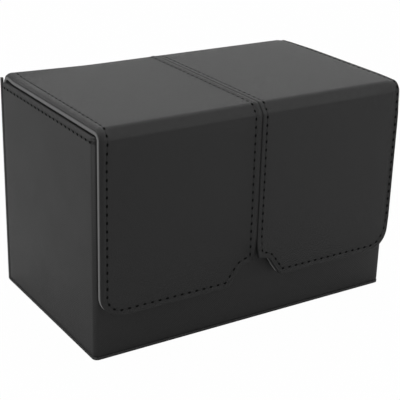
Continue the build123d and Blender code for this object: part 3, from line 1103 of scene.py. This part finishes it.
def makeBack():
    low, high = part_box("back_panel")
    shoulder = topZ - rearRadius
    tip = sideX + backPanel["tipGap"]
    back = flatFace("back_wrap", high.x - low.x, high.z)
    back.rotation_euler = (-quarterTurn, 0, 0)
    moveTo(back, (0, 0, high.z / 2))
    startEdit(back)
    bpy.ops.mesh.bisect(plane_co=(0, 0, shoulder), plane_no=(0, 0, 1))
    for place in (-tip, tip):
        pick(back, "FACE", lambda middle, face: middle.z > shoulder)
        bpy.ops.mesh.bisect(plane_co=(place, 0, 0), plane_no=(1, 0, 0))
    pick(back, "FACE", lambda middle, face: middle.z > shoulder and abs(middle.x) < tip)
    bpy.ops.mesh.delete(type="FACE")
    pick(back, "EDGE", lambda middle, edge: abs(middle.z - shoulder) < hair and abs(middle.x) > tip)
    bpy.ops.mesh.dissolve_edges(use_verts=False)
    endEdit()
    thicken(back, backPanel)
    side = high.x - middleX - backPanel["stitchLine"]
    foot, head = backPanel["stitchLine"], shoulder - backPanel["stitchLine"]
    pressGroove(back, side, foot, head)
    moveTo(back, (middleX, low.y, low.z))
    smoothEdges(back)
    dress(back, wallLeatherPaintedShade, "leatherette", "case", ["back_panel"])

    def put(spot, way):
        return (middleX + spot.x, high.y - backPanel["threadDown"], spot.y), (0, -math.atan2(way.y, way.x), 0)
    spots = ((side, foot), (side, head), (-side, head), (-side, foot), (side, foot))
    row = sew("back_thread", [Vector(spot) for spot in spots], put)
    dress(row, None, "leatherette", "case")


softEdge = {"segments": 3, "board": 0.3 * mm, "divider": 0.5 * mm, "cap": 0.32 * mm}


def roundedBoard(node, name, material, slot, body, edge):  # a board with soft edges in a node's place
    piece = boxBetween(*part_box(node))
    piece.name = name
    useModifier(piece, "BEVEL", width=softEdge[edge], segments=softEdge["segments"])
    smoothEdges(piece)
    dress(piece, material, slot, body, [node])


drawerFace = {
    "corner": 0.5 * mm, "rim": (-1.95, -0.5),
    "outside": [(0.12, -0.18), (0.4, 0.0)], "inside": [(0.12, -2.2), (0.35, -2.3)],
    "slotGap": 0.12 * mm, "slotPast": 1 * mm,  # the pull tab's slot, round the tab and past its inner end
}


def makeDrawerFace():
    low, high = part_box("drawer_face_skin")
    tabLow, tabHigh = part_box("drawer_pull_tab")
    corner = drawerFace["corner"]
    face = flatFace("drawer_front_wrap", high.z - low.z, high.y - low.y, corner, corner)
    face.rotation_euler = (0, quarterTurn, 0)
    applyPlace(face)
    thicken(face, drawerFace)
    moveTo(face, (high.x, (low.y + high.y) / 2, (low.z + high.z) / 2))
    gap = Vector((1, 1, 1)) * drawerFace["slotGap"]
    cutBox(face, tabLow - gap - Vector((drawerFace["slotPast"], 0, 0)), tabHigh + gap)
    smoothEdges(face)
    dress(face, wallLeatherPaintedShade, "leatherette", "drawer", ["drawer_face_skin"])


pullTab = {
    "corner": 5 * mm, "rim": (0.24, 0.6),
    "outside": [(0.1, 0.78), (0.32, 0.88), (1.2, 0.88), (1.5, 0.8), (1.9, 0.8), (2.2, 0.88)],
    "inside": [(0.1, 0.08), (0.3, 0.0)],
    "offMiddle": 0.02 * mm,                      # each layer, from the tab's middle
    "stitchLine": 1.7 * mm, "stitchSize": 0.66,  # in from the edge, and as a share of the lids' stitches
    "stitchStart": 0.6 * mm, "threadDown": 0.1 * mm,  # off the drawer's face, and under the tab's surfaces
}


def makeTab():  # two layers of leatherette sewn back to back
    low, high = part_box("drawer_pull_tab")
    middle = (low + high) / 2
    right, rear = (high.x - low.x) / 2, (high.y - low.y) / 2
    layers = []
    for side in (1, -1):
        layer = flatFace("drawer_tab", high.x - low.x, high.y - low.y)
        startEdit(layer)
        for spot in ((right, rear, 0), (right, -rear, 0)):
            cutCorner(layer, spot, pullTab["corner"])
        endEdit()
        thicken(layer, pullTab)
        layer.rotation_euler = (0 if side == 1 else math.pi, 0, 0)
        moveTo(layer, middle + Vector((0, 0, side * pullTab["offMiddle"])))
        layers.append(layer)
    tab = joined("drawer_tab", layers)
    smoothEdges(tab)
    dress(tab, wallLeatherPaintedShade, "leatherette", "drawer", ["drawer_pull_tab"])


def sewTab():
    low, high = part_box("drawer_pull_tab")
    line, down = pullTab["stitchLine"], pullTab["threadDown"]
    left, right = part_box("drawer_face_skin")[1].x + pullTab["stitchStart"], high.x - line
    front, rear = low.y + line, high.y - line
    corners = [Vector(spot) for spot in ((left, front), (right, front), (right, rear), (left, rear))]
    route = roundedRoute(corners, [pullTab["corner"] - line] * 2)
    rows = []
    for height, turn in ((high.z - down, quarterTurn), (low.z + down, -quarterTurn)):
        def put(spot, way):
            return (spot.x, spot.y, height), (turn, 0, math.atan2(way.y, way.x))
        rows.append(sew("tab_thread", route, put, pullTab["stitchSize"]))
    row = joined("tab_thread", rows)
    dress(row, None, "leatherette", "drawer")


softTray = {
    "corner": 0.6 * mm, "floor": 0.5 * mm,
    "rimHeight": 0.25 * mm,
    "rim": [(0.08, 0.17), (0.17, 0.08), (0.17, -0.08), (0.08, -0.17)],  # mm further in, mm further up
}


def makeTray():  # the lining inside the drawer
    low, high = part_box("drawer_lining")
    corner = softTray["corner"]
    tray = flatFace("drawer_velvet", high.x - low.x, high.y - low.y, corner, corner)
    rise = high.z - low.z - softTray["rimHeight"]
    startEdit(tray)
    bpy.ops.mesh.extrude_region_move(TRANSFORM_OT_translate={"value": (0, 0, rise)})
    for inward, up in softTray["rim"]:
        bpy.ops.mesh.inset(thickness=inward * mm, depth=up * mm)
    bpy.ops.mesh.extrude_region_move(TRANSFORM_OT_translate={"value": (0, 0, softTray["floor"] - rise)})
    endEdit()
    moveTo(tray, overMiddle(low, high, low.z))
    faceOutward(tray)
    smoothEdges(tray)
    dress(tray, greyVelvet, "lining", "drawer", ["drawer_lining"])


def makeDrawer():
    makeDrawerFace()
    makeTab()
    sewTab()
    makeTray()
    for node in ("drawer_front_side", "drawer_rear_side", "drawer_bottom_board"):
        roundedBoard(node, node + "_paper", paperBoard, "board", "drawer", "board")
    roundedBoard("drawer_divider", "drawer_divider_velvet", greyVelvet, "lining", "drawer", "divider")


def dressNodes():  # the carried-over nodes that still show
    for name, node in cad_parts.items():
        material = brushedSteel if "magnet" in name else paperBoard
        for place in node.material_slots:
            place.link = "OBJECT"
            place.material = material


makeWrap()
sewRim()
makeRooms()
makeBase()
makeBack()
roundedBoard("divider_cap", "divider_strip", wallLeatherPaintedShade, "leatherette", "case", "cap")
print("body is made")
makeDrawer()
print("drawer is made")
dressNodes()
